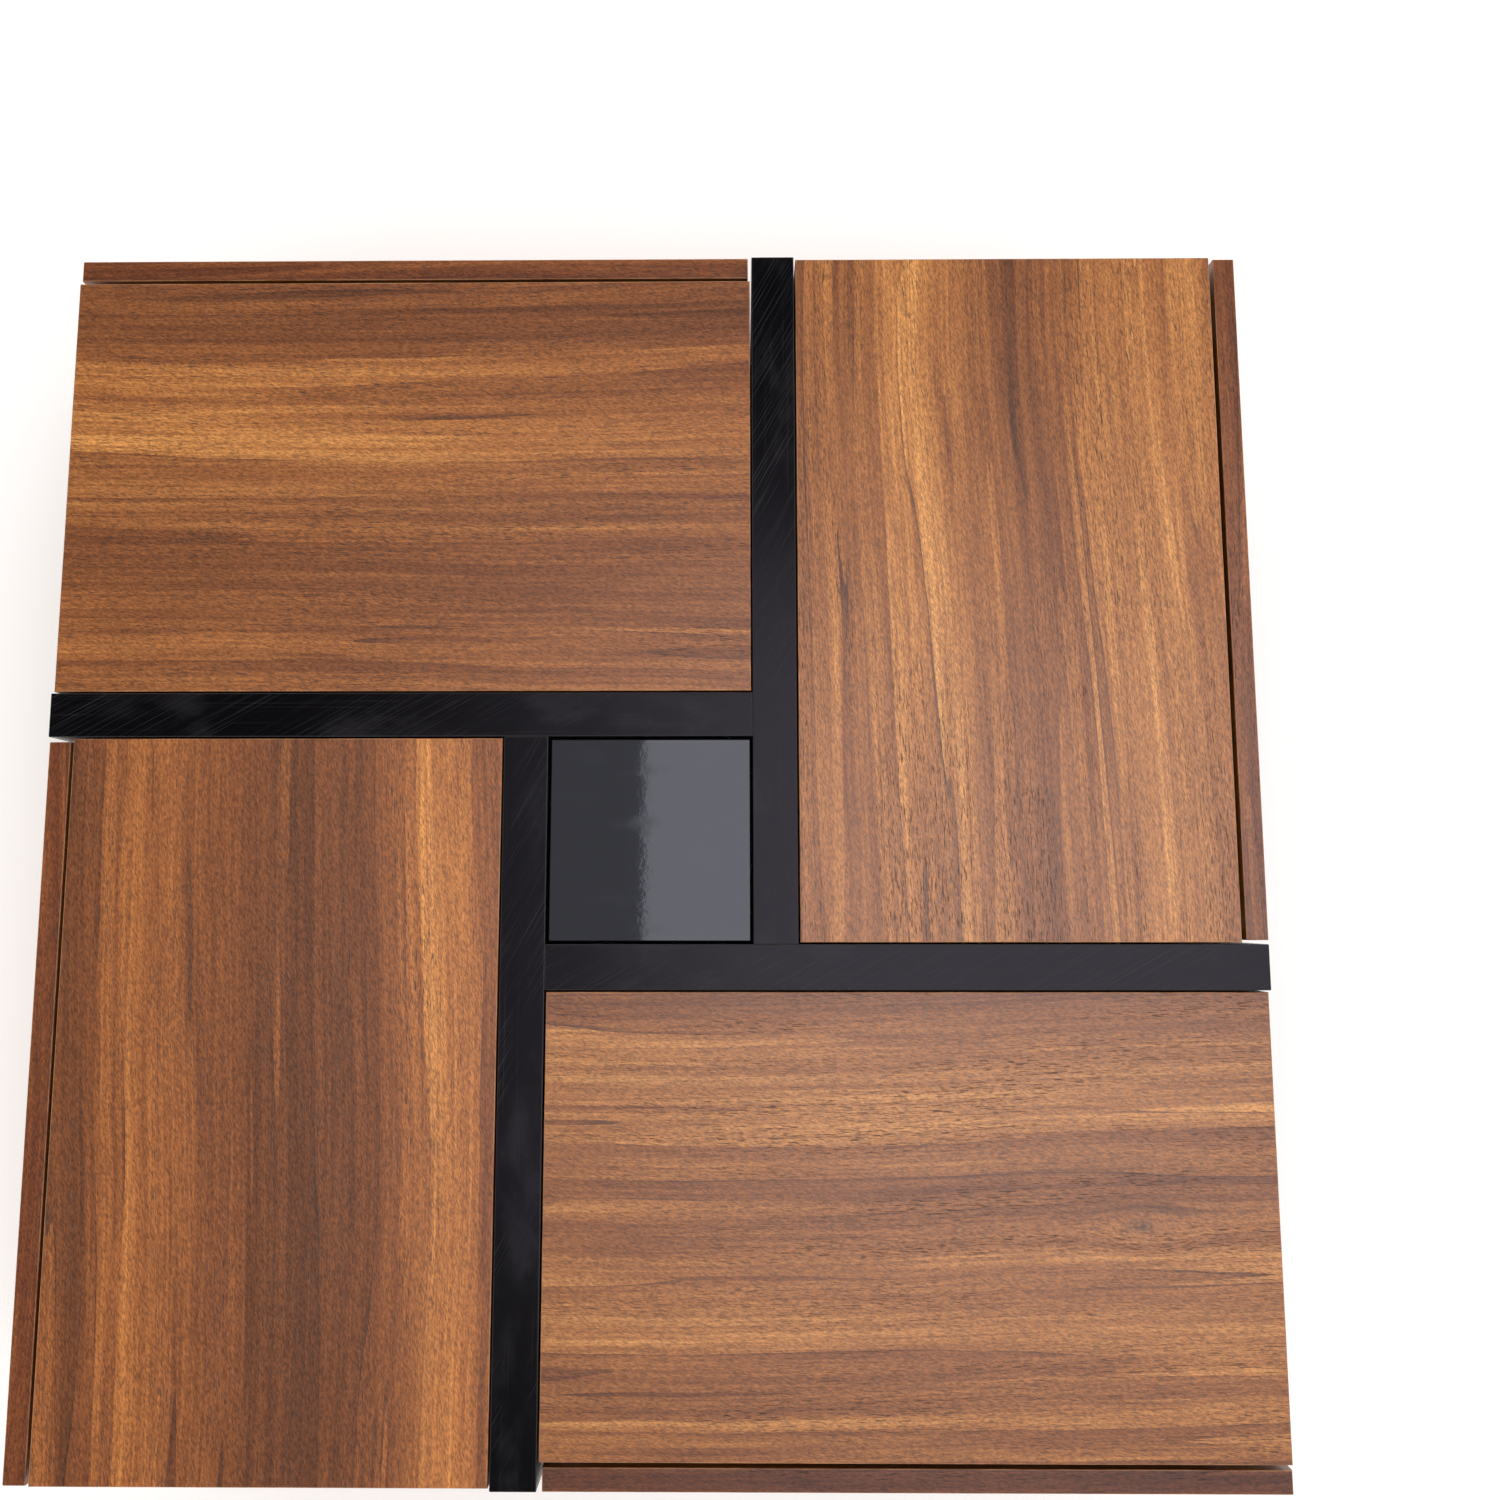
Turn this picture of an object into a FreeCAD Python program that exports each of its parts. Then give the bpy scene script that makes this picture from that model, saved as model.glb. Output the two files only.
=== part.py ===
"""Square low storage table: four drawer modules set as a pinwheel round a glazed centre well.

Frame: +Z up, origin on the floor under the middle of the table, millimetres.
Four thick black dividers run from the centre well to the table's four sides. Each closes one end
of a module and the back of the next one. Module 0 opens towards +Y, and each further module is the
same design turned 90 degrees clockwise seen from above (+X, then -Y, then -X). Every sub-part is
drawn in the frame of module 0 and turned into its place.
"""
import FreeCAD, Part
import os
import Sketcher

SIDES = ("far", "right", "near", "left")

doc = FreeCAD.newDocument("PinwheelTable")
sheet = doc.addObject("Spreadsheet::Sheet", "Sizes")

# Driving dimensions: alias, value in millimetres, what it is.
DIMENSIONS = (
    ("table_width", 1000, "divider end to divider end, both ways"),
    ("table_height", 380, "floor to the dividers' top"),
    ("well_width", 169, "clear width of the square centre well"),
    ("divider_thick", 36.5, "black divider"),
    ("board_thick", 18, "walnut-faced carcass board"),
    ("front_thick", 18, "drawer front"),
    ("edge_radius", 0.8, "rounded edge of a visible board"),
    ("panel_gap", 1.4, "joint line between a top panel and a divider"),
    ("panel_drop", 0.7, "top panel's face below the dividers' top"),
    ("end_inset", 2.2, "module's closed end, inside the divider's end"),
    ("mouth_inset", 21.3, "carcass front edge, inside the divider's end"),
    ("press_gap", 6.8, "room behind the drawer front to press it in"),
    ("front_drop", 12, "drawer front's top edge below the dividers' top"),
    ("front_foot", 14, "drawer front's lower edge above the floor"),
    ("front_clear", 3, "drawer front to divider"),
    ("front_lap", 2.85, "drawer front past the end panel's face"),
    ("glide_height", 4, "plastic floor glide"),
    ("glide_radius", 8, "plastic floor glide"),
    ("glide_inset", 34, "glide centre from the end of a board"),
    ("block_foot", 1, "lowest corner blocks above the dividers' lower edge"),
    ("glass_thick", 6, "centre glass"),
    ("glass_gap", 2.3, "centre glass to divider"),
    ("glass_drop", 3, "centre glass below the dividers' top"),
    ("pad_thick", 1.5, "clear pad under the glass"),
    ("pad_radius", 6, "clear pad under the glass"),
    ("block_size", 20, "plastic corner block"),
    ("block_hole", 2.2, "radius of the screw holes in a corner block"),
    ("block_inset", 90, "corner block from the end of its board"),
    ("runner_space", 13, "room for a runner beside the drawer"),
    ("runner_tall", 45, "height of the runner's outer member"),
    ("runner_steel", 1.2, "runner's sheet steel"),
    ("runner_rise", 60, "runner's centre line above the drawer box's lower edge"),
    ("runner_back", 2, "runner's front end behind the carcass front edge"),
    ("ball_gap", 2.8, "ball race between two members"),
    ("outer_lip_gap", 4, "outer member's lips to the drawer side"),
    ("middle_lip_gap", 2.5, "middle member's lips to the drawer side"),
    ("middle_web_gap", 2.4, "middle member's web to the outer member's"),
    ("inner_depth", 7, "inner member's channel"),
    ("box_board", 15, "drawer side and back board"),
    ("box_lift", 14, "drawer box above the bottom panel"),
    ("head_room", 35.3, "drawer box below the top panel's corner blocks"),
    ("latch_room", 63.4, "room behind the drawer box for the push latch"),
    ("tray_thick", 6, "drawer bottom"),
    ("tray_rise", 10, "drawer bottom above the box's lower edge"),
    ("groove_depth", 6.5, "groove for the drawer bottom"),
    ("groove_play", 0.2, "groove wider than the drawer bottom"),
    ("tray_play", 0.5, "drawer bottom short of the groove's end"),
    ("latch_rise", 120, "latch centre above the drawer box's lower edge"),
    ("latch_plate_wide", 20, "latch mounting plate"),
    ("latch_plate_tall", 50, "latch mounting plate"),
    ("latch_plate_thick", 3, "latch mounting plate"),
    ("barrel_radius", 7, "latch barrel"),
    ("barrel_end", 18, "latch barrel's mouth to the drawer box"),
    ("stem_radius", 4, "latch plunger stem"),
    ("stem_play", 0.05, "running clearance round the stem"),
    ("stem_long", 42, "plunger from tip to inner end"),
    ("cap_radius", 5.5, "plunger's soft cap"),
    ("cap_long", 6, "plunger's soft cap"),
    ("cap_round", 1.5, "rounded rim of the soft cap"),
    ("tip_clear", 0.3, "plunger tip to the drawer back"),
    ("screw_long", 70, "divider screw"),
    ("screw_radius", 3.2, "divider screw shank"),
    ("screw_head_radius", 5, "divider screw head"),
    ("screw_head_long", 3.5, "divider screw head"),
    ("screw_play", 0.1, "clearance round a divider screw"),
    ("screw_inset", 50, "outer divider screws from the divider's edges"),
)
for line, (alias, size, meaning) in enumerate(DIMENSIONS, start=1):
    sheet.set(f"A{line}", alias)
    sheet.set(f"B{line}", str(size))
    sheet.setAlias(f"B{line}", alias)
    sheet.set(f"C{line}", meaning)
doc.recompute()

# Places of module 0 that several sub-parts share, as expressions of the sheet.
HALF = "Sizes.table_width / 2"
WELL = "Sizes.well_width / 2"                                   # divider's face on the module side
BACK = f"({WELL} + Sizes.divider_thick)"                        # back wall of the module
DIVIDER_MIDDLE = f"({WELL} + Sizes.divider_thick / 2)"
END_OUT = f"(Sizes.end_inset - {HALF})"                         # closed end, outer face
END_IN = f"({END_OUT} + Sizes.board_thick)"                     # closed end, inner face
MOUTH = f"({HALF} - Sizes.mouth_inset)"                         # carcass front edge
FRONT_REAR = f"({MOUTH} + Sizes.press_gap)"                     # drawer front's rear face
TOP = "Sizes.table_height"
UNDER_TOP = "(Sizes.table_height - Sizes.panel_drop - Sizes.board_thick)"
BASE = "Sizes.glide_height"
BOTTOM_UNDER = "(Sizes.glide_height + Sizes.block_foot + Sizes.block_size)"
BOX_LEFT = f"({END_IN} + Sizes.runner_space)"
BOX_RIGHT = f"({WELL} - Sizes.runner_space)"
BOX_REAR = f"({BACK} + Sizes.latch_room)"
BOX_BASE = f"({BOTTOM_UNDER} + Sizes.board_thick + Sizes.box_lift)"
BOX_TOP = f"({UNDER_TOP} - Sizes.block_size - Sizes.head_room)"
TRAY_BASE = f"({BOX_BASE} + Sizes.tray_rise)"
TRAY_TOP = f"({TRAY_BASE} + Sizes.tray_thick)"
LATCH_X = f"(({BOX_LEFT} + {BOX_RIGHT}) / 2)"
LATCH_Z = f"({BOX_BASE} + Sizes.latch_rise)"
BARREL_MOUTH = f"({BOX_REAR} - Sizes.barrel_end)"
PAD_BASE = "(Sizes.table_height - Sizes.glass_drop - Sizes.glass_thick - Sizes.pad_thick)"
SCREW_HEIGHTS = (
    f"({BASE} + Sizes.screw_inset)",
    f"(({BASE} + {TOP}) / 2)",
    f"({TOP} - Sizes.screw_inset)",
)

ALONG_X = FreeCAD.Rotation(FreeCAD.Vector(0, 1, 0), 90)
PLANE_OF = {"x": "YZ_Plane", "y": "XZ_Plane", "z": "XY_Plane"}
nodes = []


def turned(module, x, y):
    """Expressions of a point of module 0 after the module's turn."""
    return ((x, y), (y, f"-({x})"), (f"-({x})", f"-({y})"), (f"-({y})", x))[module]


def turn_of(module):
    return FreeCAD.Rotation(FreeCAD.Vector(0, 0, 1), -90 * module)


def node(thing, label):
    """Register a finished sub-part under the name of its file."""
    thing.Label = label
    nodes.append(thing)
    return thing


# ---- PartDesign helpers -------------------------------------------------------------------------

def new_body(label, module):
    body = doc.addObject("PartDesign::Body", label)
    body.Placement = FreeCAD.Placement(FreeCAD.Vector(), turn_of(module))
    return node(body, label)


def plane_sketch(body, name, axis, offset, shift="0"):
    """Sketch square to an axis of the module, at the given distance along it.

    The sketch of the y axis looks along -Y, so its offset is counted the other way."""
    sketch = body.newObject("Sketcher::SketchObject", f"{body.Name}_{name}")
    plane = [f for f in body.Origin.OriginFeatures if f.Role == PLANE_OF[axis]][0]
    sketch.AttachmentSupport = (plane, [""])
    sketch.MapMode = "FlatFace"
    sketch.setExpression("AttachmentOffset.Base.z", f"-({offset})" if axis == "y" else offset)
    sketch.setExpression("AttachmentOffset.Base.x", shift)
    return sketch


def pin_point(sketch, line, corner, u, v):
    """Dimension one point of the sketch from the sketch's origin."""
    for kind, place in (("DistanceX", u), ("DistanceY", v)):
        index = sketch.addConstraint(Sketcher.Constraint(kind, -1, 1, line, corner, 1.0))
        sketch.setExpression(f"Constraints[{index}]", place)


def sketch_point(sketch, u, v):
    return FreeCAD.Vector(float(sketch.evalExpression(u)), float(sketch.evalExpression(v)), 0)


def outline(sketch, points):
    """Closed outline through the points, each one dimensioned."""
    spots = [sketch_point(sketch, u, v) for u, v in points]
    for index, start in enumerate(spots):
        sketch.addGeometry(Part.LineSegment(start, spots[(index + 1) % len(spots)]), False)
    for index in range(len(spots)):
        sketch.addConstraint(
            Sketcher.Constraint("Coincident", index, 2, (index + 1) % len(spots), 1))
    for index, (u, v) in enumerate(points):
        pin_point(sketch, index, 1, u, v)


def rectangle(sketch, u, v):
    outline(sketch, ((u[0], v[0]), (u[1], v[0]), (u[1], v[1]), (u[0], v[1])))


def circle(sketch, u, v, radius):
    ring = Part.Circle(
        sketch_point(sketch, u, v), FreeCAD.Vector(0, 0, 1), float(sketch.evalExpression(radius)))
    index = sketch.addGeometry(ring, False)
    pin_point(sketch, index, 3, u, v)
    size = sketch.addConstraint(Sketcher.Constraint("Radius", index, 1.0))
    sketch.setExpression(f"Constraints[{size}]", radius)


def feature(body, kind, name, sketch, length, backwards=False):
    """Pad or Pocket of a sketch; a Pocket has to take material away."""
    before = body.Shape.Volume if kind == "Pocket" else 0
    made = body.newObject(f"PartDesign::{kind}", f"{body.Name}_{name}")
    made.Profile = sketch
    made.setExpression("Length", length)
    made.Reversed = backwards
    doc.recompute()
    if kind == "Pocket" and not body.Shape.Volume < before - 1e-6:
        raise RuntimeError(f"{made.Name} cuts nothing")
    return made


def board(label, module, x, y, z):
    """Board between two expressions along each axis."""
    body = new_body(label, module)
    sketch = plane_sketch(body, "outline", "z", z[0])
    rectangle(sketch, x, y)
    feature(body, "Pad", "pad", sketch, f"{z[1]} - {z[0]}")
    return body


def carve(body, name, x, y, z):
    """Rectangular pocket, cut down from its upper face."""
    sketch = plane_sketch(body, name, "z", z[1])
    rectangle(sketch, x, y)
    feature(body, "Pocket", f"{name}_cut", sketch, f"{z[1]} - {z[0]}")


def soften(body, wanted):
    """Round the edges of the body that the test picks, by the sheet's edge radius."""
    base = body.Tip
    names = [f"Edge{i}" for i, edge in enumerate(base.Shape.Edges, start=1) if wanted(edge)]
    fillet = body.newObject("PartDesign::Fillet", f"{body.Name}_soft")
    fillet.Base = (base, names)
    fillet.setExpression("Radius", "Sizes.edge_radius")
    doc.recompute()


def soften_top(body):
    top = body.Tip.Shape.BoundBox.ZMax
    soften(body, lambda edge: min(v.Z for v in edge.Vertexes) > top - 0.01)


# ---- Part primitive helpers ---------------------------------------------------------------------

def primitive(kind, name, sizes, module, x, y, z, lean=FreeCAD.Rotation()):
    """Part primitive with its reference point at (x, y, z) of its module."""
    made = doc.addObject(f"Part::{kind}", name)
    for size, value in sizes.items():
        made.setExpression(size, value)
    made.Placement = FreeCAD.Placement(FreeCAD.Vector(), turn_of(module).multiply(lean))
    for axis, place in zip("xyz", (*turned(module, x, y), z)):
        made.setExpression(f"Placement.Base.{axis}", place)
    return made


def block(name, module, x, y, z):
    sizes = {"Length": f"{x[1]} - {x[0]}", "Width": f"{y[1]} - {y[0]}", "Height": f"{z[1]} - {z[0]}"}
    return primitive("Box", name, sizes, module, x[0], y[0], z[0])


def cut(name, base, tool):
    made = doc.addObject("Part::Cut", name)
    made.Base = base
    made.Tool = tool
    return made


def fuse(name, shapes):
    made = doc.addObject("Part::MultiFuse", name)
    made.Shapes = shapes
    return made


def group(label, members):
    """Several identical loose solids kept as one node."""
    made = doc.addObject("Part::Compound", label)
    made.Links = members
    return node(made, label)


# ---- Carcass ------------------------------------------------------------------------------------

def divider(side, module):
    """Thick black board from the far wall of the well out to the table's side."""
    body = board(
        f"{side}_divider", module, (WELL, BACK), (f"-({WELL})", HALF), (BASE, TOP))
    top = body.Shape.BoundBox.ZMax
    soften(body, lambda edge: max(v.Z for v in edge.Vertexes) > top - 0.01)
    for level, height in enumerate(SCREW_HEIGHTS):
        hole = plane_sketch(body, f"through_{level}", "x", BACK)
        circle(hole, DIVIDER_MIDDLE, height, "Sizes.screw_radius + Sizes.screw_play")
        feature(body, "Pocket", f"through_{level}_cut", hole, "Sizes.divider_thick")
        seat = plane_sketch(body, f"seat_{level}", "x", BACK)
        circle(seat, DIVIDER_MIDDLE, height, "Sizes.screw_head_radius + Sizes.screw_play")
        feature(body, "Pocket", f"seat_{level}_cut", seat, "Sizes.screw_head_long + Sizes.screw_play")
        end = plane_sketch(body, f"end_{level}", "y", f"-({WELL})")
        circle(end, DIVIDER_MIDDLE, height, "Sizes.screw_radius + Sizes.screw_play")
        feature(body, "Pocket", f"end_{level}_cut", end,
                "Sizes.screw_long - Sizes.divider_thick + Sizes.screw_play")


def top_panel(side, module):
    body = board(
        f"{side}_top_panel", module,
        (END_OUT, f"({WELL} - Sizes.panel_gap)"), (f"({BACK} + Sizes.panel_gap)", MOUTH),
        (UNDER_TOP, f"({UNDER_TOP} + Sizes.board_thick)"))
    soften_top(body)


def end_panel(side, module):
    board(
        f"{side}_end_panel", module,
        (END_OUT, END_IN), (f"({BACK} + Sizes.panel_gap)", MOUTH), (BASE, UNDER_TOP))


def bottom_panel(side, module):
    board(
        f"{side}_bottom_panel", module, (END_IN, WELL), (BACK, MOUTH),
        (BOTTOM_UNDER, f"({BOTTOM_UNDER} + Sizes.board_thick)"))


# ---- Drawer -------------------------------------------------------------------------------------

GROOVE_Z = (f"({TRAY_BASE} - Sizes.groove_play / 2)", f"({TRAY_TOP} + Sizes.groove_play / 2)")
TRAY_LAP = "(Sizes.groove_depth - Sizes.tray_play)"


def drawer_front(side, module):
    body = board(
        f"{side}_drawer_front", module,
        (f"({END_OUT} - Sizes.front_lap)", f"({WELL} - Sizes.front_clear)"),
        (FRONT_REAR, f"({FRONT_REAR} + Sizes.front_thick)"),
        ("Sizes.front_foot", f"({TOP} - Sizes.front_drop)"))
    reach = body.Tip.Shape.BoundBox
    soften(body, lambda edge: min(v.Y for v in edge.Vertexes) > reach.YMax - 0.01
           or min(v.Z for v in edge.Vertexes) > reach.ZMax - 0.01)
    carve(body, "groove",
          (f"({BOX_LEFT} + Sizes.box_board - Sizes.groove_depth)",
           f"({BOX_RIGHT} - Sizes.box_board + Sizes.groove_depth)"),
          (FRONT_REAR, f"({FRONT_REAR} + Sizes.groove_depth)"), GROOVE_Z)


def drawer_side(side, module, hand):
    """Side board of the drawer box, with its groove on the inside."""
    if hand == "left":
        x = (BOX_LEFT, f"({BOX_LEFT} + Sizes.box_board)")
        groove = (f"({x[1]} - Sizes.groove_depth)", x[1])
    else:
        x = (f"({BOX_RIGHT} - Sizes.box_board)", BOX_RIGHT)
        groove = (x[0], f"({x[0]} + Sizes.groove_depth)")
    body = board(f"{side}_drawer_{hand}_side", module, x, (BOX_REAR, FRONT_REAR), (BOX_BASE, BOX_TOP))
    carve(body, "groove", groove, (BOX_REAR, FRONT_REAR), GROOVE_Z)


def drawer_back(side, module):
    """Back board, standing on the drawer bottom between the sides."""
    board(
        f"{side}_drawer_back", module,
        (f"({BOX_LEFT} + Sizes.box_board)", f"({BOX_RIGHT} - Sizes.box_board)"),
        (BOX_REAR, f"({BOX_REAR} + Sizes.box_board)"), (TRAY_TOP, BOX_TOP))


def drawer_bottom(side, module):
    board(
        f"{side}_drawer_bottom", module,
        (f"({BOX_LEFT} + Sizes.box_board - {TRAY_LAP})", f"({BOX_RIGHT} - Sizes.box_board + {TRAY_LAP})"),
        (BOX_REAR, f"({FRONT_REAR} + {TRAY_LAP})"), (TRAY_BASE, TRAY_TOP))


# ---- Runners ------------------------------------------------------------------------------------

RUNNER_Y = (BOX_REAR, f"({MOUTH} - Sizes.runner_back)")
RUNNER_Z = f"({BOX_BASE} + Sizes.runner_rise)"
# Half height of each member, and its channel from u0 to u1, counted from the carcass wall.
STEP_IN = "(Sizes.runner_steel + Sizes.ball_gap)"
MEMBERS = {
    "outer": ("(Sizes.runner_tall / 2)", "0", "(Sizes.runner_space - Sizes.outer_lip_gap)"),
    "middle": (f"(Sizes.runner_tall / 2 - {STEP_IN})",
               "(Sizes.runner_steel + Sizes.middle_web_gap)",
               "(Sizes.runner_space - Sizes.middle_lip_gap)"),
    "inner": (f"(Sizes.runner_tall / 2 - {STEP_IN} - {STEP_IN})",
              "(Sizes.runner_space - Sizes.inner_depth)", "Sizes.runner_space"),
}


def runner_member(name, module, hand, member):
    """One C-shaped steel channel, its web on the wall side, or on the drawer side if inner."""
    half, near, away = MEMBERS[member]
    hollow = (near, f"({away} - Sizes.runner_steel)")
    if member != "inner":
        hollow = (f"({near} + Sizes.runner_steel)", away)

    def across(u):
        if hand == "left":
            return f"({END_IN} + {u[0]})", f"({END_IN} + {u[1]})"
        return f"({WELL} - {u[1]})", f"({WELL} - {u[0]})"

    def upright(reach):
        return f"({RUNNER_Z} - {reach})", f"({RUNNER_Z} + {reach})"

    bar = block(f"{name}_bar", module, across((near, away)), RUNNER_Y, upright(half))
    channel = block(
        f"{name}_channel", module, across(hollow), RUNNER_Y, upright(f"({half} - Sizes.runner_steel)"))
    return cut(name, bar, channel)


def runner_pair(side, module, member):
    label = f"{side}_{member}_runners"
    group(label, [runner_member(f"{label}_{hand}", module, hand, member) for hand in ("left", "right")])


# ---- Push latch ---------------------------------------------------------------------------------

def latch_housing(module, number):
    """Plate on the module's back wall with a barrel that holds the plunger."""
    name = f"latch_housing_{number}"
    plate = block(
        f"{name}_plate", module,
        (f"({LATCH_X} - Sizes.latch_plate_wide / 2)", f"({LATCH_X} + Sizes.latch_plate_wide / 2)"),
        (BACK, f"({BACK} + Sizes.latch_plate_thick)"),
        (f"({LATCH_Z} - Sizes.latch_plate_tall / 2)", f"({LATCH_Z} + Sizes.latch_plate_tall / 2)"))
    lean = FreeCAD.Rotation(FreeCAD.Vector(1, 0, 0), -90)
    barrel = primitive(
        "Cylinder", f"{name}_barrel",
        {"Radius": "Sizes.barrel_radius", "Height": f"{BARREL_MOUTH} - {BACK}"},
        module, LATCH_X, BACK, LATCH_Z, lean)
    bore_end = f"({BACK} + Sizes.latch_plate_thick)"
    bore = primitive(
        "Cylinder", f"{name}_bore",
        {"Radius": "Sizes.stem_radius + Sizes.stem_play", "Height": f"{BARREL_MOUTH} - {bore_end}"},
        module, LATCH_X, bore_end, LATCH_Z, lean)
    return cut(name, fuse(f"{name}_solid", [plate, barrel]), bore)


def latch_plunger(side, module):
    """Turned stem with a soft cap, sprung out towards the drawer back."""
    body = new_body(f"{side}_latch_plunger", module)
    sketch = plane_sketch(body, "half", "z", LATCH_Z, LATCH_X)
    tip = f"({BOX_REAR} - Sizes.tip_clear)"
    cap = f"({tip} - Sizes.cap_long)"
    inner = f"({tip} - Sizes.stem_long)"
    outline(sketch, (
        ("0", inner), ("Sizes.stem_radius", inner), ("Sizes.stem_radius", cap),
        ("Sizes.cap_radius", cap), ("Sizes.cap_radius", f"({tip} - Sizes.cap_round)"),
        ("Sizes.cap_radius - Sizes.cap_round", tip), ("0", tip)))
    turned_stem = body.newObject("PartDesign::Revolution", f"{body.Name}_turned")
    turned_stem.Profile = sketch
    turned_stem.ReferenceAxis = (sketch, ["V_Axis"])
    turned_stem.Angle = 360
    doc.recompute()


# ---- Shared small hardware ----------------------------------------------------------------------

def divider_screw(module, level):
    """Screw through one divider into the end of the one that butts against it."""
    name = f"divider_screw_{module}_{level}"
    height = SCREW_HEIGHTS[level]
    shank = primitive(
        "Cylinder", f"{name}_shank", {"Radius": "Sizes.screw_radius", "Height": "Sizes.screw_long"},
        module, f"({BACK} - Sizes.screw_long)", DIVIDER_MIDDLE, height, ALONG_X)
    head = primitive(
        "Cylinder", f"{name}_head",
        {"Radius": "Sizes.screw_head_radius", "Height": "Sizes.screw_head_long"},
        module, f"({BACK} - Sizes.screw_head_long)", DIVIDER_MIDDLE, height, ALONG_X)
    return fuse(name, [shank, head])


def corner_block(number, module, x, y, z):
    """Plastic cube in a corner, with one screw hole across and one upright."""
    name = f"corner_block_{number}"
    size = "Sizes.block_size"
    cube = block(f"{name}_cube", module, (x, f"({x} + {size})"), (y, f"({y} + {size})"), (z, f"({z} + {size})"))
    upright = primitive(
        "Cylinder", f"{name}_upright", {"Radius": "Sizes.block_hole", "Height": size},
        module, f"({x} + {size} / 4)", f"({y} + {size} / 4)", z)
    crossing = primitive(
        "Cylinder", f"{name}_across", {"Radius": "Sizes.block_hole", "Height": size},
        module, x, f"({y} + {size} * 3 / 4)", f"({z} + {size} / 2)", ALONG_X)
    return cut(name, cube, fuse(f"{name}_holes", [upright, crossing]))


def block_spots(module):
    """Corners of one module that carry a block: along the back wall, the divider and the end panel."""
    size = "Sizes.block_size"
    walls = (
        (f"({END_IN} + Sizes.block_inset)", BACK),
        (f"({WELL} - Sizes.block_inset - {size})", BACK),
        (f"({WELL} - {size})", f"({MOUTH} - Sizes.block_inset)"),
        (END_IN, f"({MOUTH} - Sizes.block_inset)"),
    )
    levels = (f"({UNDER_TOP} - {size})", f"({BOTTOM_UNDER} - {size})")
    return [(module, x, y, z) for x, y in walls for z in levels]


def glide(module, number, x, y):
    return primitive(
        "Cone", f"floor_glide_{module}_{number}",
        {"Radius1": "Sizes.glide_radius - Sizes.glide_height / 4", "Radius2": "Sizes.glide_radius",
         "Height": "Sizes.glide_height"}, module, x, y, "0")


def shared_hardware():
    modules = range(len(SIDES))
    group("latch_housings", [latch_housing(module, module) for module in modules])
    group("divider_screws", [divider_screw(module, level) for module in modules for level in range(3)])

    well_corner = (f"-({WELL})", f"({WELL} - Sizes.block_size)", f"({PAD_BASE} - Sizes.block_size)")
    spots = [spot for module in modules for spot in block_spots(module)]
    spots += [(module, *well_corner) for module in modules]
    group("corner_blocks", [corner_block(number, *spot) for number, spot in enumerate(spots)])

    pad_place = f"({WELL} - Sizes.block_size / 2)"
    group("glass_pads", [
        primitive("Cylinder", f"glass_pad_{module}",
                  {"Radius": "Sizes.pad_radius", "Height": "Sizes.pad_thick"},
                  module, f"-{pad_place}", pad_place, PAD_BASE)
        for module in modules])

    glide_places = (
        (DIVIDER_MIDDLE, f"({HALF} - Sizes.glide_inset)"),
        (DIVIDER_MIDDLE, f"(Sizes.glide_inset - {WELL})"),
        (f"({END_OUT} + Sizes.board_thick / 2)", f"({MOUTH} - Sizes.glide_inset)"),
    )
    group("floor_glides", [
        glide(module, number, x, y) for module in modules for number, (x, y) in enumerate(glide_places)])


def centre_glass():
    reach = f"({WELL} - Sizes.glass_gap)"
    base = f"({PAD_BASE} + Sizes.pad_thick)"
    body = board("centre_glass", 0, (f"-{reach}", reach), (f"-{reach}", reach),
                 (base, f"({base} + Sizes.glass_thick)"))
    soften_top(body)


# ---- Build, check and write ---------------------------------------------------------------------

for module, side in enumerate(SIDES):
    divider(side, module)
    top_panel(side, module)
    end_panel(side, module)
    bottom_panel(side, module)
    drawer_front(side, module)
    drawer_side(side, module, "left")
    drawer_side(side, module, "right")
    drawer_back(side, module)
    drawer_bottom(side, module)
    for member in MEMBERS:
        runner_pair(side, module, member)
    latch_plunger(side, module)
centre_glass()
shared_hardware()
doc.recompute()

for thing in doc.Objects:
    if "Invalid" in thing.State or "Error" in thing.State:
        raise RuntimeError(f"{thing.Name} failed: {thing.State}")
for thing in nodes:
    if thing.Shape.isNull() or not thing.Shape.isValid():
        raise RuntimeError(f"{thing.Label} has no valid shape")

os.makedirs("parts", exist_ok=True)
for thing in nodes:
    thing.Shape.exportStep(os.path.join("parts", f"{thing.Label}.step"))
print(f"{len(nodes)} nodes written")
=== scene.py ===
"""Looks of the square pinwheel storage table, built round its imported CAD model. Metres, +Z up."""
import math

import bmesh
import bpy
from mathutils import Matrix, Quaternion, Vector


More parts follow.
